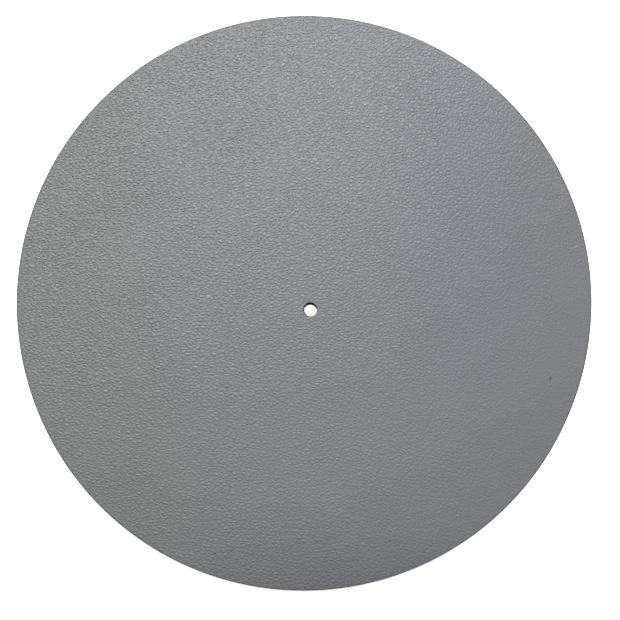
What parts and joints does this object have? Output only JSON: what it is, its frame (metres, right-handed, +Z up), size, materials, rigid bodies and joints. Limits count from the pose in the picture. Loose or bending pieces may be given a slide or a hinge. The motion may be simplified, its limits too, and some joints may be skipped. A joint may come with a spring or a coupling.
{
  "type": "turntable platter mat",
  "caption": "Round flat mat of grained grey leather with a central spindle hole, laid on a record player's platter under the record.",
  "frame": {"origin": "on the spindle's axis, in the plane of the flesh side that lies on the platter", "axes": "+Z up along the spindle's axis, out of the grain side that the record lies on; the mat is round, so X and Y are alike"},
  "size_m": [0.3, 0.3, 0.002],
  "materials": {
    "grey_leather": "fine pebble grain, semi-matt"
  },
  "bodies": {
    "root": {"platter_mat": "grey_leather"}
  },
  "joints": []
}
